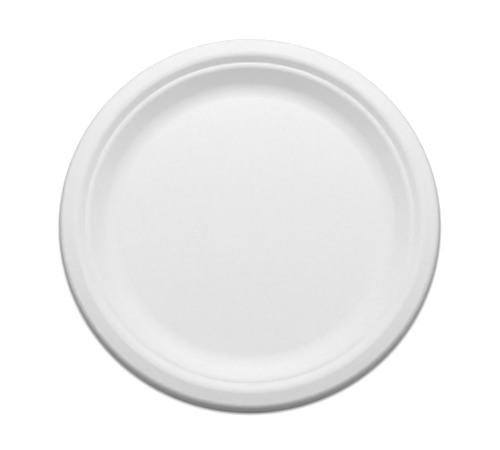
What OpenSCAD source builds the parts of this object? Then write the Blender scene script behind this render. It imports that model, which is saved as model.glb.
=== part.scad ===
// Round dinner plate pressed from moulded plant fibre. The plate is one wall of even thickness,
// turned about the Z axis: a flat floor, a steep wall, a narrow stacking ledge, a short rise to the
// crest of the rim, and a rim that falls away outwards to a turned-down lip. The origin is the
// centre of the floor's underside.

/* [Plate] */
// Outer diameter of the plate
plate_d = 228.6; // [170:0.1:300]
// Thickness of the moulded wall
wall_t = 0.7; // [0.5:0.05:1]

/* [Well] */
// Height of the stacking ledge above the floor
well_depth = 12.8; // [10:0.1:30]
// Slope of the well's wall from the level floor, in degrees
wall_angle = 49; // [40:1:70]
// Bend radius between floor and wall
floor_r = 12; // [6:0.5:16]

/* [Stacking ledge] */
// Width of the level ledge, between its two corners
ledge_w = 2.3; // [1.5:0.1:6]
// Bend radius between the wall and the ledge
ledge_inner_r = 3.2; // [1:0.1:5]
// Bend radius between the ledge and the rise to the crest
ledge_outer_r = 1.6; // [1:0.1:5]

/* [Rim] */
// Width of the rise between the ledge and the crest
rise_w = 4.3; // [3:0.1:8]
// Height of the rise, from the ledge to the corner of the crest
rise_h = 4.6; // [2:0.1:7]
// Bend radius over the crest
crest_r = 3.7; // [2:0.1:8]
// Width of the rim, from the corner of the crest to the corner of the lip
rim_w = 10.1; // [8:0.1:20]
// Fall of the rim over that width
rim_fall = 2; // [0:0.1:6]
// Bend radius between the rim and the lip
lip_r = 3; // [1:0.1:5]
// Width of the lip
lip_w = 1; // [0.3:0.1:3]
// Height of the lip, from its corner down to the trimmed edge
lip_h = 6.8; // [3:0.1:9]

/* [Hidden] */

fibre_white = "#f1f1ee";

// Turn of a bend, in degrees, for each short straight of its outline
bend_step = 5;
// Most of a straight that the bends at its ends may take
bend_share = 0.95;
// Straights in the half circle of the trimmed edge
edge_steps = 6;
// Straights round the plate
round_steps = 180;

// Corners of the wall's middle surface, from the axis outwards. The radii are counted inwards from the lip.
end_x = plate_d / 2 - wall_t / 2;
lip_x = end_x - lip_w;
crest_x = lip_x - rim_w;
ledge_outer_x = crest_x - rise_w;
ledge_inner_x = ledge_outer_x - ledge_w;
floor_x = ledge_inner_x - well_depth / tan(wall_angle);

floor_z = wall_t / 2;
ledge_z = floor_z + well_depth;
crest_z = ledge_z + rise_h;
lip_z = crest_z - rim_fall;
end_z = lip_z - lip_h;

corners = [
    [0, floor_z],
    [floor_x, floor_z],
    [ledge_inner_x, ledge_z],
    [ledge_outer_x, ledge_z],
    [crest_x, crest_z],
    [lip_x, lip_z],
    [end_x, end_z]
];
bends = [0, floor_r, ledge_inner_r, ledge_outer_r, crest_r, lip_r, 0];
last = len(corners) - 1;

// Heading of the straight that leaves corner i, as an angle above the level
function heading(i) = atan2(corners[i + 1].y - corners[i].y, corners[i + 1].x - corners[i].x);
function along(angle) = [cos(angle), sin(angle)];
function across(angle) = [-sin(angle), cos(angle)];
function run(i) = norm(corners[i + 1] - corners[i]);
function turn(i) = heading(i) - heading(i - 1);

// Length that bend i takes from the straight on each side of its corner
function take(i) = bends[i] > 0 ? bends[i] * tan(abs(turn(i)) / 2) : 0;
// Two bends that need more than the straight between them shrink alike, and leave some of it straight
function room(i) = bend_share * run(i) / (take(i) + take(i + 1));
function bend_r(i) = bends[i] * min(1, room(i - 1), room(i));
function bend_start(i) = corners[i] - bend_r(i) * tan(abs(turn(i)) / 2) * along(heading(i - 1));
function bend_centre(i) = bend_start(i) + sign(turn(i)) * bend_r(i) * across(heading(i - 1));

// Points of bend i on the surface that lies a distance beside the middle surface,
// above it where that is positive
function bend(i, beside) =
    let (
        steps = ceil(abs(turn(i)) / bend_step),
        reach = sign(turn(i)) * bend_r(i) - beside
    )
    [for (k = [0 : steps])
        bend_centre(i) - reach * across(heading(i - 1) + turn(i) * k / steps)];

// One face of the wall, from the axis to its last bend
function face(beside) = concat(
    [[0, floor_z + beside]],
    [for (i = [1 : last - 1]) each bend(i, beside)]
);

// Half-round trimmed edge, from the upper face to the lower
edge = [for (k = [0 : edge_steps])
    corners[last] + wall_t / 2 * along(heading(last - 1) + 90 - 180 * k / edge_steps)];

function reversed(points) = [for (i = [len(points) - 1 : -1 : 0]) points[i]];

module section() {
    polygon(concat(
        face(wall_t / 2),
        edge,
        reversed(face(-wall_t / 2))
    ));
}

module plate() {
    color(fibre_white) rotate_extrude($fn = round_steps) section();
}

plate();
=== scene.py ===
"""Round plate pressed from white plant fibre, seen from above on a pale table in soft light from behind."""
import math

import bmesh
import bpy
from bpy.props import FloatProperty, FloatVectorProperty, IntProperty, PointerProperty
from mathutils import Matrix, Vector


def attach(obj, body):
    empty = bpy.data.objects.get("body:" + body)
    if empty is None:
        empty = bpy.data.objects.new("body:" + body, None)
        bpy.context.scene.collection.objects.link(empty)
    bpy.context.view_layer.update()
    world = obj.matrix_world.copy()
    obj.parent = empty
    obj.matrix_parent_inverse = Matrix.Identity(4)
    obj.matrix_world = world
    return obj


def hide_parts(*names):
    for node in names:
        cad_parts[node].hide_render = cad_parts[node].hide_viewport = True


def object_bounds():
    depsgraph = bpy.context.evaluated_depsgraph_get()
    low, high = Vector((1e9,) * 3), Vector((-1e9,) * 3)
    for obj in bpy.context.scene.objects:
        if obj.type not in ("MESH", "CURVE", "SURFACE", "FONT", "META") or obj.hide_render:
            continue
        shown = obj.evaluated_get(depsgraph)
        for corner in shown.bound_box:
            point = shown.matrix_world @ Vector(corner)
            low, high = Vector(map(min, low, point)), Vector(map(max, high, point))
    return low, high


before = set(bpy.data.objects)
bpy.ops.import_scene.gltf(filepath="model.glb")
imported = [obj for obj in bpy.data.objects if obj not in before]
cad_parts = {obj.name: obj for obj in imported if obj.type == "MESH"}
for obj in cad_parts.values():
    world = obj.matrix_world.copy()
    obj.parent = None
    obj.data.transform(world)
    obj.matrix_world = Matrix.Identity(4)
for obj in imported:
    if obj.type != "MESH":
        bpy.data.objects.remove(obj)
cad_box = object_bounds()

bl_info = {
    "name": "Pressed Fibre Plate",
    "version": (1, 0, 0),
    "blender": (4, 5, 0),
    "location": "View3D > Sidebar > Plate",
    "description": "Models a round plate pressed from plant fibre, with its table, lamps and camera",
    "category": "Add Mesh",
}

# Size of the picture that the camera is framed for, in pixels
PICTURE_WIDTH = 500
PICTURE_HEIGHT = 450

# Material slots of the plate's mesh; the upper face has slot 0
UNDERSIDE = 1
TRIMMED_EDGE = 2

# How far a point may lie from a ring and still count as on it, in metres
RING_REACH = 0.00002

# Side of the table, and the gap that keeps its face apart from the plate's, in metres
TABLE_SIDE = 6
TABLE_GAP = 0.00005

# Height of the point that the camera looks at, in metres
CAMERA_AIM = 0.01


class PlateSizes(bpy.types.PropertyGroup):
    """Sizes of the plate's section, measured on the middle of its wall"""

    diameter: FloatProperty(
        name="Diameter", description="Outer diameter of the plate",
        default=cad_box[1].x - cad_box[0].x, unit="LENGTH")
    wall: FloatProperty(
        name="Wall", description="Thickness of the wall",
        default=0.0007, unit="LENGTH")
    edge_round: FloatProperty(
        name="Edge rounding",
        description="Rounding of the trimmed edge's two corners, by which the edge passes the lip's end",
        default=0.00033, unit="LENGTH")
    well_depth: FloatProperty(
        name="Well depth", description="Height of the stacking ledge above the floor",
        default=0.0128, unit="LENGTH")
    wall_slope: FloatProperty(
        name="Wall slope", description="Slope of the well's wall from the level",
        default=math.radians(49), subtype="ANGLE")
    floor_bend: FloatProperty(
        name="Floor bend", description="Bend radius between floor and wall",
        default=0.012, unit="LENGTH")
    ledge_width: FloatProperty(
        name="Ledge width", description="Width of the stacking ledge between its corners",
        default=0.0023, unit="LENGTH")
    ledge_inner_bend: FloatProperty(
        name="Inner ledge bend", description="Bend radius between wall and ledge",
        default=0.0032, unit="LENGTH")
    ledge_outer_bend: FloatProperty(
        name="Outer ledge bend", description="Bend radius between ledge and rise",
        default=0.0016, unit="LENGTH")
    rise_width: FloatProperty(
        name="Rise width", description="Width of the rise between ledge and crest",
        default=0.0043, unit="LENGTH")
    rise_height: FloatProperty(
        name="Rise height", description="Height of the crest's corner above the ledge",
        default=0.0046, unit="LENGTH")
    crest_bend: FloatProperty(
        name="Crest bend", description="Bend radius over the crest",
        default=0.0037, unit="LENGTH")
    rim_width: FloatProperty(
        name="Rim width", description="Width of the rim from the crest's corner to the lip's",
        default=0.0101, unit="LENGTH")
    rim_fall: FloatProperty(
        name="Rim fall", description="Fall of the rim over its width",
        default=0.002, unit="LENGTH")
    lip_bend: FloatProperty(
        name="Lip bend", description="Bend radius between rim and lip",
        default=0.003, unit="LENGTH")
    lip_width: FloatProperty(
        name="Lip width", description="Width of the lip",
        default=0.001, unit="LENGTH")
    lip_height: FloatProperty(
        name="Lip height", description="Height of the lip from its corner to the trimmed edge",
        default=0.0068, unit="LENGTH")
    edge_steps: IntProperty(
        name="Edge steps", description="Strips of faces in each rounded corner of the trimmed edge",
        default=3, min=1)
    round_steps: IntProperty(
        name="Steps round", description="Faces round the plate",
        default=288, min=48)
    bend_step: FloatProperty(
        name="Bend step", description="Turn of a bend for each strip of faces",
        default=math.radians(4), subtype="ANGLE")


class FibreFinish(bpy.types.PropertyGroup):
    """Colours and grain of the pressed fibre"""

    fibre_white: FloatVectorProperty(
        name="Fibre white", description="Colour of the bleached fibre",
        default=(0.855, 0.855, 0.855), size=3, subtype="COLOR", min=0, max=1)
    fibre_shade: FloatVectorProperty(
        name="Fibre shade", description="Colour where the fibre lies thin or dark",
        default=(0.80, 0.80, 0.80), size=3, subtype="COLOR", min=0, max=1)
    reflection: FloatProperty(
        name="Reflection", description="Strength of the faint reflection, where 0.5 is a usual plastic",
        default=0.3, min=0, max=1)
    upper_roughness: FloatProperty(
        name="Upper roughness", description="Roughness of the pressed upper face",
        default=0.72, min=0, max=1)
    under_roughness: FloatProperty(
        name="Underside roughness", description="Roughness of the underside, which lay on the screen",
        default=0.8, min=0, max=1)
    edge_roughness: FloatProperty(
        name="Edge roughness", description="Roughness of the trimmed edge",
        default=0.87, min=0, max=1)
    upper_relief: FloatProperty(
        name="Upper relief", description="Depth of the fibres on the upper face",
        default=0.00003, precision=5, unit="LENGTH")
    under_relief: FloatProperty(
        name="Underside relief", description="Depth of the fibres and wire marks on the underside",
        default=0.00004, precision=5, unit="LENGTH")
    edge_relief: FloatProperty(
        name="Edge relief", description="Depth of the fibres on the trimmed edge",
        default=0.00008, precision=5, unit="LENGTH")
    patches_per_mm: FloatProperty(
        name="Patches per mm", description="Fineness of the uneven patches in the pulp",
        default=0.35, min=0)
    fibres_per_mm: FloatProperty(
        name="Fibres per mm", description="Fineness of the laid fibres",
        default=5, min=0)
    screen_pitch: FloatProperty(
        name="Screen pitch", description="Distance between the wires that mark the underside",
        default=0.0009, precision=4, unit="LENGTH")


class StudioLook(bpy.types.PropertyGroup):
    """Table, lamps and camera"""

    table_given: FloatVectorProperty(
        name="Table light", description="Colour that the table gives back to the plate",
        default=(0.1, 0.1, 0.1), size=3, subtype="COLOR", min=0, max=1)
    table_shown: FloatVectorProperty(
        name="Table", description="Colour that the table shows under the plate, where its shadow lies",
        default=(0.5, 0.5, 0.5), size=3, subtype="COLOR", min=0, max=1)
    shadow_inner: FloatProperty(
        name="Shadow inner radius",
        description="Distance from the table's middle at which it starts to whiten",
        default=0.1140, precision=4, unit="LENGTH")
    shadow_outer: FloatProperty(
        name="Shadow outer radius",
        description="Distance from the table's middle from which it is white",
        default=0.1176, precision=4, unit="LENGTH")
    shadow_back: FloatProperty(
        name="Shadow set-back", description="Distance of the table's middle behind the plate's",
        default=0.001, precision=4, unit="LENGTH")
    key_level: FloatProperty(
        name="Key level",
        description="Light of the key lamp on a level sheet, where 1 makes white paper white",
        default=0.70, min=0)
    key_place: FloatVectorProperty(
        name="Key place", description="Middle of the key lamp, behind the plate and above it",
        default=(0, 0.45, 0.6), size=3, unit="LENGTH", subtype="XYZ")
    key_width: FloatProperty(
        name="Key width", description="Width of the key lamp",
        default=1.0, unit="LENGTH")
    key_depth: FloatProperty(
        name="Key depth", description="Depth of the key lamp",
        default=0.4, unit="LENGTH")
    top_level: FloatProperty(
        name="Top level", description="Light of the top lamp on a level sheet",
        default=0.24, min=0)
    top_height: FloatProperty(
        name="Top height", description="Height of the top lamp above the plate",
        default=0.6, unit="LENGTH")
    top_width: FloatProperty(
        name="Top width", description="Width of the top lamp, which is half as deep",
        default=0.6, unit="LENGTH")
    left_level: FloatProperty(
        name="Left level", description="Light of the left lamp on a level sheet",
        default=0.059, min=0)
    right_level: FloatProperty(
        name="Right level", description="Light of the right lamp on a level sheet",
        default=0.067, min=0)
    side_distance: FloatProperty(
        name="Side distance", description="Distance of the left and right lamps from the plate's axis",
        default=0.8, unit="LENGTH")
    side_back: FloatProperty(
        name="Side set-back",
        description="Distance of the left and right lamps behind the plate's middle",
        default=0.1, unit="LENGTH")
    side_height: FloatProperty(
        name="Side height", description="Height of the left, right and front lamps",
        default=0.35, unit="LENGTH")
    side_width: FloatProperty(
        name="Side width",
        description="Width of the left and right lamps; the front one is twice as wide",
        default=0.4, unit="LENGTH")
    front_level: FloatProperty(
        name="Front level", description="Light of the front lamp on a level sheet",
        default=0.064, min=0)
    below_level: FloatProperty(
        name="Below level", description="Light of the lower lamp on the underside of the plate",
        default=0.3, min=0)
    sky_level: FloatProperty(
        name="Sky level", description="Even light from all sides",
        default=0.008, min=0)
    camera_rise: FloatProperty(
        name="Camera rise", description="Angle of the camera above the level",
        default=math.radians(77.4), subtype="ANGLE")
    camera_distance: FloatProperty(
        name="Camera distance", description="Distance of the camera from the plate's middle",
        default=1.1, unit="LENGTH")
    camera_scale: FloatProperty(
        name="Picture scale", description="Pixels of the picture for each metre at the plate's middle",
        default=1667.5, min=1)
    centre_across: FloatProperty(
        name="Centre across",
        description="Pixel column of the plate's middle, from the picture's left side",
        default=249.75)
    centre_down: FloatProperty(
        name="Centre down", description="Pixel row of the plate's middle, from the picture's top",
        default=221.2)


def section_corners(sizes):
    """Corners of the wall's middle as (radius, height, bend radius), from the floor to the trimmed edge."""
    end = sizes.diameter / 2 - sizes.wall / 2
    lip = end - sizes.lip_width
    crest = lip - sizes.rim_width
    ledge_outer = crest - sizes.rise_width
    ledge_inner = ledge_outer - sizes.ledge_width
    floor = ledge_inner - sizes.well_depth / math.tan(sizes.wall_slope)
    floor_level = sizes.wall / 2
    ledge_level = floor_level + sizes.well_depth
    crest_level = ledge_level + sizes.rise_height
    lip_level = crest_level - sizes.rim_fall
    # The lip runs on by the rounding of its trimmed edge
    run_on = sizes.edge_round / math.hypot(sizes.lip_width, sizes.lip_height)
    return [
        (floor, floor_level, sizes.floor_bend),
        (ledge_inner, ledge_level, sizes.ledge_inner_bend),
        (ledge_outer, ledge_level, sizes.ledge_outer_bend),
        (crest, crest_level, sizes.crest_bend),
        (lip, lip_level, sizes.lip_bend),
        (end + run_on * sizes.lip_width, lip_level - sizes.lip_height * (1 + run_on), 0.0),
    ]


def select_ring(sheet, radius, height):
    """Selects, in edit mode, the closed loop of edges at a radius and a height."""
    bpy.ops.mesh.select_all(action="DESELECT")
    mesh = bmesh.from_edit_mesh(sheet.data)
    for edge in mesh.edges:
        if all(
            abs(math.hypot(corner.co.x, corner.co.y) - radius) < RING_REACH
            and abs(corner.co.z - height) < RING_REACH
            for corner in edge.verts
        ):
            edge.select_set(True)
    bmesh.update_edit_mesh(sheet.data)


def raise_sheet(sizes):
    """Draws the floor's disc, pulls its edge out through the section's corners and returns the sheet."""
    corners = section_corners(sizes)
    radius, height, _ = corners[0]
    bpy.ops.mesh.primitive_circle_add(
        vertices=sizes.round_steps, radius=radius, fill_type="TRIFAN", location=(0, 0, height))
    sheet = bpy.context.object
    sheet.name = "pressed_plate"
    bpy.ops.object.transform_apply(location=True)
    bpy.ops.object.mode_set(mode="EDIT")
    bpy.ops.mesh.select_mode(type="EDGE")
    select_ring(sheet, radius, height)
    for next_radius, next_height, _ in corners[1:]:
        bpy.ops.mesh.extrude_region_move(TRANSFORM_OT_translate={"value": (0, 0, next_height - height)})
        grow = next_radius / radius
        bpy.ops.transform.resize(value=(grow, grow, 1))
        radius, height = next_radius, next_height
    bpy.ops.object.mode_set(mode="OBJECT")
    return sheet


def round_corners(sheet, sizes):
    """Rolls each corner of the sheet into its bend."""
    corners = section_corners(sizes)
    bpy.ops.object.mode_set(mode="EDIT")
    for place in range(len(corners) - 1):
        before = corners[place - 1] if place else (0.0, corners[0][1])
        here, after = corners[place], corners[place + 1]
        heading_in = math.atan2(here[1] - before[1], here[0] - before[0])
        heading_out = math.atan2(after[1] - here[1], after[0] - here[0])
        turn = abs(heading_out - heading_in)
        select_ring(sheet, here[0], here[1])
        bpy.ops.mesh.bevel(
            offset_type="OFFSET", offset=here[2] * math.tan(turn / 2), profile=0.5,
            segments=math.ceil(turn / sizes.bend_step), affect="EDGES", clamp_overlap=False)
    bpy.ops.object.mode_set(mode="OBJECT")


def thicken(sheet, sizes):
    """Gives the sheet its wall, half on each side, with a material slot for each face and for the edge."""
    wall = sheet.modifiers.new("Wall", "SOLIDIFY")
    wall.thickness = sizes.wall
    wall.offset = 0
    wall.use_even_offset = True
    wall.use_quality_normals = True
    wall.material_offset = UNDERSIDE
    wall.material_offset_rim = TRIMMED_EDGE
    bpy.ops.object.modifier_apply(modifier=wall.name)


def round_trimmed_edge(sheet, sizes):
    """Rounds both corners of the trimmed edge, as the press leaves them."""
    bpy.ops.object.mode_set(mode="EDIT")
    bpy.ops.mesh.select_mode(type="EDGE")
    bpy.ops.mesh.select_all(action="DESELECT")
    mesh = bmesh.from_edit_mesh(sheet.data)
    for edge in mesh.edges:
        sides = [face.material_index for face in edge.link_faces]
        if TRIMMED_EDGE in sides and len(set(sides)) > 1:
            edge.select_set(True)
    bmesh.update_edit_mesh(sheet.data)
    bpy.ops.mesh.bevel(
        offset_type="OFFSET", offset=sizes.edge_round, profile=0.5, segments=sizes.edge_steps,
        affect="EDGES", clamp_overlap=False, material=TRIMMED_EDGE)
    bpy.ops.object.mode_set(mode="OBJECT")


def smooth_faces(sheet):
    """Shades the bends smooth and keeps the flat stretches flat."""
    bpy.ops.object.shade_smooth()
    flats = sheet.modifiers.new("Flats", "WEIGHTED_NORMAL")
    flats.mode = "FACE_AREA"
    flats.weight = 100
    bpy.ops.object.modifier_apply(modifier=flats.name)


def new_group(name, inputs, outputs):
    """Starts a node group from (socket type, name, default) rows; returns it with its two end nodes."""
    group = bpy.data.node_groups.new(name, "ShaderNodeTree")
    for kind, label, default in inputs:
        socket = group.interface.new_socket(label, in_out="INPUT", socket_type=kind)
        if default is not None:
            socket.default_value = default
    for kind, label in outputs:
        group.interface.new_socket(label, in_out="OUTPUT", socket_type=kind)
    return group, group.nodes.new("NodeGroupInput"), group.nodes.new("NodeGroupOutput")


def math_node(tree, operation, first, second=None, third=None):
    """Adds a Math node; each input is a socket or a number. Returns its output."""
    node = tree.nodes.new("ShaderNodeMath")
    node.operation = operation
    for place, value in enumerate((first, second, third)):
        if value is None:
            continue
        if isinstance(value, bpy.types.NodeSocket):
            tree.links.new(value, node.inputs[place])
        else:
            node.inputs[place].default_value = value
    return node.outputs[0]


def colour_socket(sockets, label):
    """The colour socket of that name on a Mix node, where number and vector sockets share the name."""
    return next(socket for socket in sockets if socket.name == label and socket.type == "RGBA")


def noise_node(tree, place, scale, detail, roughness=0.5, distortion=0.0):
    """Adds a Noise Texture node at a place and scale, which are sockets, and returns its output."""
    node = tree.nodes.new("ShaderNodeTexNoise")
    tree.links.new(place, node.inputs["Vector"])
    tree.links.new(scale, node.inputs["Scale"])
    node.inputs["Detail"].default_value = detail
    node.inputs["Roughness"].default_value = roughness
    node.inputs["Distortion"].default_value = distortion
    return node.outputs[0]


def ramp_node(tree, value, low, high):
    """Adds a Map Range node that rises softly from 0 at low to 1 at high, and returns its output."""
    node = tree.nodes.new("ShaderNodeMapRange")
    node.interpolation_type = "SMOOTHSTEP"
    node.inputs["From Min"].default_value = low
    node.inputs["From Max"].default_value = high
    tree.links.new(value, node.inputs["Value"])
    return node.outputs["Result"]


def make_mottle_group():
    """Soft uneven patches of a felted sheet."""
    group, start, end = new_group(
        "Pulp Mottle",
        [("NodeSocketVector", "Place", None), ("NodeSocketFloat", "Patches per mm", 0.5)],
        [("NodeSocketFloat", "Thinness")])
    patches = noise_node(
        group, start.outputs["Place"], start.outputs["Patches per mm"], detail=4, roughness=0.6)
    group.links.new(ramp_node(group, patches, 0.3, 0.7), end.inputs["Thinness"])
    return group


def make_fibre_group():
    """Fibres that lie across each other in three directions, as stretched noise."""
    group, start, end = new_group(
        "Laid Fibres",
        [("NodeSocketVector", "Place", None), ("NodeSocketFloat", "Fibres per mm", 4.0)],
        [("NodeSocketFloat", "Height")])
    directions = 3
    # A fibre is about eight times as long as it is wide; each direction has its own part of the noise
    stretch = (0.12, 1, 1)
    apart = Vector((7, 11, 13))
    height = None
    for layer in range(directions):
        turn = group.nodes.new("ShaderNodeMapping")
        turn.inputs["Rotation"].default_value = (0, 0, math.pi * layer / directions)
        turn.inputs["Location"].default_value = apart * layer
        group.links.new(start.outputs["Place"], turn.inputs["Vector"])
        pull = group.nodes.new("ShaderNodeVectorMath")
        pull.operation = "MULTIPLY"
        pull.inputs[1].default_value = stretch
        group.links.new(turn.outputs["Vector"], pull.inputs[0])
        strands = noise_node(
            group, pull.outputs["Vector"], start.outputs["Fibres per mm"], detail=2, distortion=0.6)
        height = strands if height is None else math_node(group, "MAXIMUM", height, strands)
    group.links.new(height, end.inputs["Height"])
    return group


def make_screen_group():
    """Dimples that the wire cloth of the forming tool leaves."""
    group, start, end = new_group(
        "Screen Marks",
        [("NodeSocketVector", "Place", None), ("NodeSocketFloat", "Wires per mm", 1.0)],
        [("NodeSocketFloat", "Height")])
    across = group.nodes.new("ShaderNodeSeparateXYZ")
    group.links.new(start.outputs["Place"], across.inputs["Vector"])
    waves = []
    for axis in ("X", "Y"):
        wires = math_node(group, "MULTIPLY", across.outputs[axis], start.outputs["Wires per mm"])
        waves.append(math_node(group, "SINE", math_node(group, "MULTIPLY", wires, math.tau)))
    group.links.new(math_node(group, "MULTIPLY", *waves), end.inputs["Height"])
    return group


def use_group(tree, group, **values):
    """Places a node group in a material and sets or links its inputs by name."""
    node = tree.nodes.new("ShaderNodeGroup")
    node.node_tree = group
    for label, value in values.items():
        socket = node.inputs[label.replace("_", " ")]
        if isinstance(value, bpy.types.NodeSocket):
            tree.links.new(value, socket)
        else:
            socket.default_value = value
    return node


def make_fibre_material(name, finish, groups, relief, roughness, screened):
    """Matt pressed fibre with its relief's depth in metres; wires mark the side that lay on the screen."""
    material = bpy.data.materials.new(name)
    material.use_nodes = True
    tree = material.node_tree
    shader = tree.nodes["Principled BSDF"]
    shader.inputs["Specular IOR Level"].default_value = finish.reflection

    place = tree.nodes.new("ShaderNodeTexCoord")
    millimetres = tree.nodes.new("ShaderNodeVectorMath")
    millimetres.operation = "SCALE"
    millimetres.inputs["Scale"].default_value = 1000
    tree.links.new(place.outputs["Object"], millimetres.inputs[0])
    here = millimetres.outputs["Vector"]

    mottle = use_group(tree, groups["mottle"], Place=here, Patches_per_mm=finish.patches_per_mm)
    fibres = use_group(tree, groups["fibres"], Place=here, Fibres_per_mm=finish.fibres_per_mm)
    thinness, height = mottle.outputs["Thinness"], fibres.outputs["Height"]

    # The shade shows at half strength, and only between the fibres of the thin patches
    dark = math_node(tree, "MULTIPLY", math_node(tree, "MULTIPLY", thinness, 0.5), height)
    tint = tree.nodes.new("ShaderNodeMix")
    tint.data_type = "RGBA"
    colour_socket(tint.inputs, "A").default_value = (*finish.fibre_white, 1)
    colour_socket(tint.inputs, "B").default_value = (*finish.fibre_shade, 1)
    tree.links.new(dark, tint.inputs["Factor"])
    tree.links.new(colour_socket(tint.outputs, "Result"), shader.inputs["Base Color"])

    rough_spread = 0.2
    rough = math_node(tree, "MULTIPLY_ADD", height, rough_spread, roughness - rough_spread / 2)
    tree.links.new(rough, shader.inputs["Roughness"])

    height = math_node(tree, "ADD", height, thinness)
    if screened:
        screen = use_group(tree, groups["screen"], Place=here, Wires_per_mm=0.001 / finish.screen_pitch)
        height = math_node(tree, "ADD", height, screen.outputs["Height"])
    bump = tree.nodes.new("ShaderNodeBump")
    bump.inputs["Distance"].default_value = relief
    tree.links.new(height, bump.inputs["Height"])
    tree.links.new(bump.outputs["Normal"], shader.inputs["Normal"])
    return material


class PLATE_OT_press(bpy.types.Operator):
    """Press the plate: one wall of fibre with its floor, well, ledge, rim and lip"""

    bl_idname = "plate.press"
    bl_label = "Press Plate"
    bl_options = {"REGISTER", "UNDO"}

    def execute(self, context):
        sizes = context.scene.plate_sizes
        finish = context.scene.fibre_finish
        bpy.ops.object.select_all(action="DESELECT")
        plate = raise_sheet(sizes)
        round_corners(plate, sizes)

        groups = {
            "mottle": make_mottle_group(),
            "fibres": make_fibre_group(),
            "screen": make_screen_group(),
        }
        surfaces = (
            ("pressed upper face", finish.upper_relief, finish.upper_roughness, False),
            ("screened underside", finish.under_relief, finish.under_roughness, True),
            ("trimmed edge", finish.edge_relief, finish.edge_roughness, False),
        )
        for name, relief, roughness, screened in surfaces:
            material = make_fibre_material(name, finish, groups, relief, roughness, screened)
            plate.data.materials.append(material)

        thicken(plate, sizes)
        round_trimmed_edge(plate, sizes)
        smooth_faces(plate)
        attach(plate, "root")
        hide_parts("plate")
        return {"FINISHED"}


def add_lamp(name, place, width, depth, level):
    """Adds a lamp that faces the plate's middle and gives a level sheet there the stated light."""
    lamp = bpy.data.lights.new(name, "AREA")
    lamp.shape = "RECTANGLE"
    lamp.size = width
    lamp.size_y = depth
    towards = Vector(place)
    rise = abs(towards.z) / towards.length
    lamp.energy = math.pi ** 2 * level * towards.length_squared / rise
    holder = bpy.data.objects.new(name, lamp)
    bpy.context.scene.collection.objects.link(holder)
    holder.location = towards
    holder.rotation_euler = towards.to_track_quat("Z", "Y").to_euler()
    holder.visible_camera = False


def seen_directly(tree):
    """Gives 1 where the camera sees a surface, also by reflection or through glass, and 0 elsewhere."""
    path = tree.nodes.new("ShaderNodeLightPath")
    seen = math_node(tree, "MAXIMUM", path.outputs["Is Camera Ray"], path.outputs["Is Glossy Ray"])
    return math_node(tree, "MAXIMUM", seen, path.outputs["Is Transmission Ray"])


def mix_shaders(tree, share, first, second):
    """Adds a Mix Shader node between two shader nodes and returns it; a share of 1 is all second."""
    mix = tree.nodes.new("ShaderNodeMixShader")
    tree.links.new(share, mix.inputs[0])
    tree.links.new(first.outputs[0], mix.inputs[1])
    tree.links.new(second.outputs[0], mix.inputs[2])
    return mix


def make_table_material(look):
    """Pale table: plain for the light that it gives the plate, white with a shadow for the camera."""
    material = bpy.data.materials.new("pale table")
    material.use_nodes = True
    tree = material.node_tree
    tree.nodes.clear()
    end = tree.nodes.new("ShaderNodeOutputMaterial")
    giving = tree.nodes.new("ShaderNodeBsdfDiffuse")
    giving.inputs["Color"].default_value = (*look.table_given, 1)
    shown = tree.nodes.new("ShaderNodeBsdfDiffuse")
    shown.inputs["Color"].default_value = (*look.table_shown, 1)
    glow = tree.nodes.new("ShaderNodeEmission")

    # The table whitens with the distance from its middle, so that the shadow stays close to the plate
    place = tree.nodes.new("ShaderNodeTexCoord")
    away = tree.nodes.new("ShaderNodeVectorMath")
    away.operation = "LENGTH"
    tree.links.new(place.outputs["Object"], away.inputs[0])
    whiteness = ramp_node(tree, away.outputs["Value"], look.shadow_inner, look.shadow_outer)
    tree.links.new(whiteness, glow.inputs["Strength"])

    lit = tree.nodes.new("ShaderNodeAddShader")
    tree.links.new(shown.outputs[0], lit.inputs[0])
    tree.links.new(glow.outputs[0], lit.inputs[1])
    above = mix_shaders(tree, seen_directly(tree), giving, lit)

    # From below, the table is clear, also for the lower lamp's light, so that the underside can be seen
    side = tree.nodes.new("ShaderNodeNewGeometry")
    path = tree.nodes.new("ShaderNodeLightPath")
    passing = math_node(tree, "MAXIMUM", side.outputs["Backfacing"], path.outputs["Is Shadow Ray"])
    clear = tree.nodes.new("ShaderNodeBsdfTransparent")
    table = mix_shaders(tree, passing, above, clear)
    tree.links.new(table.outputs[0], end.inputs["Surface"])
    return material


def set_sky(look):
    """Even light from all sides, which the camera sees as white."""
    sky = bpy.data.worlds.new("studio")
    sky.use_nodes = True
    bpy.context.scene.world = sky
    tree = sky.node_tree
    backdrop = tree.nodes["Background"]
    backdrop.inputs["Color"].default_value = (1, 1, 1, 1)
    strength = math_node(tree, "MULTIPLY_ADD", seen_directly(tree), 1 - look.sky_level, look.sky_level)
    tree.links.new(strength, backdrop.inputs["Strength"])


def set_camera(look):
    """Looks down at the plate from its near side, framed as the picture is."""
    target = Vector((0, 0, CAMERA_AIM))
    back = Vector((0, -math.cos(look.camera_rise), math.sin(look.camera_rise)))
    lens = bpy.data.cameras.new("camera")
    lens.sensor_width = 36
    lens.lens = lens.sensor_width * look.camera_scale * look.camera_distance / PICTURE_WIDTH
    lens.shift_x = -(look.centre_across - PICTURE_WIDTH / 2) / PICTURE_WIDTH
    lens.shift_y = (look.centre_down - PICTURE_HEIGHT / 2) / PICTURE_WIDTH
    camera = bpy.data.objects.new("camera", lens)
    camera.location = target + back * look.camera_distance
    camera.rotation_euler = back.to_track_quat("Z", "Y").to_euler()
    bpy.context.scene.collection.objects.link(camera)
    bpy.context.scene.camera = camera


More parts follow.
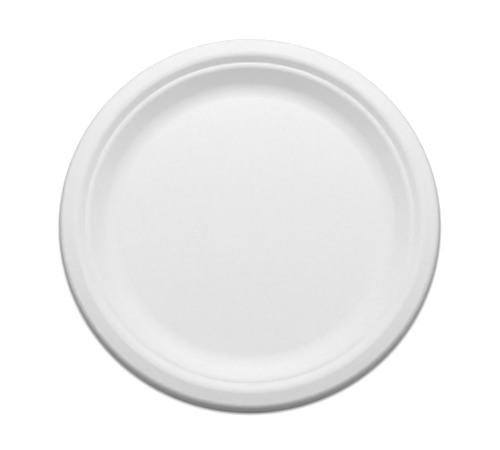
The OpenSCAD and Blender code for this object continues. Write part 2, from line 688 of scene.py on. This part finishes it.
class PLATE_OT_studio(bpy.types.Operator):
    """Set the table, the lamps, the sky and the camera"""

    bl_idname = "plate.studio"
    bl_label = "Set Studio"
    bl_options = {"REGISTER", "UNDO"}

    def execute(self, context):
        look = context.scene.studio_look
        bpy.ops.object.select_all(action="DESELECT")
        bpy.ops.mesh.primitive_plane_add(size=TABLE_SIDE, location=(0, look.shadow_back, -TABLE_GAP))
        table = context.object
        table.name = "table"
        table.data.materials.append(make_table_material(look))
        aside, behind, high = look.side_distance, look.side_back, look.side_height
        add_lamp("key", look.key_place, look.key_width, look.key_depth, look.key_level)
        add_lamp("top", (0, 0, look.top_height), look.top_width, look.top_width / 2, look.top_level)
        add_lamp("left", (-aside, behind, high), look.side_width, look.side_width, look.left_level)
        add_lamp("right", (aside, behind, high), look.side_width, look.side_width, look.right_level)
        add_lamp("front", (0, -aside, high), look.side_width * 2, look.side_width, look.front_level)
        add_lamp("below", (0, 0, -look.top_height), look.side_width, look.side_width, look.below_level)
        set_sky(look)
        set_camera(look)
        context.scene.view_settings.view_transform = "Standard"
        return {"FINISHED"}


class PLATE_PT_panel(bpy.types.Panel):
    """Sizes, finish and studio of the plate"""

    bl_idname = "PLATE_PT_panel"
    bl_label = "Pressed Plate"
    bl_space_type = "VIEW_3D"
    bl_region_type = "UI"
    bl_category = "Plate"

    def draw(self, context):
        groups = (
            ("plate.press", context.scene.plate_sizes),
            ("plate.press", context.scene.fibre_finish),
            ("plate.studio", context.scene.studio_look),
        )
        for operator, settings in groups:
            box = self.layout.box()
            for name in settings.__annotations__:
                box.prop(settings, name)
            box.operator(operator)


CLASSES = (PlateSizes, FibreFinish, StudioLook, PLATE_OT_press, PLATE_OT_studio, PLATE_PT_panel)
SETTINGS = {"plate_sizes": PlateSizes, "fibre_finish": FibreFinish, "studio_look": StudioLook}


def register():
    """Makes the settings, operators and panel known."""
    for cls in CLASSES:
        bpy.utils.register_class(cls)
    for name, cls in SETTINGS.items():
        setattr(bpy.types.Scene, name, PointerProperty(type=cls))


def unregister():
    """Takes them out again."""
    for name in SETTINGS:
        delattr(bpy.types.Scene, name)
    for cls in reversed(CLASSES):
        bpy.utils.unregister_class(cls)


def main():
    """Builds the plate and its studio."""
    register()
    bpy.ops.plate.press()
    bpy.ops.plate.studio()


if __name__ == "__main__":
    main()
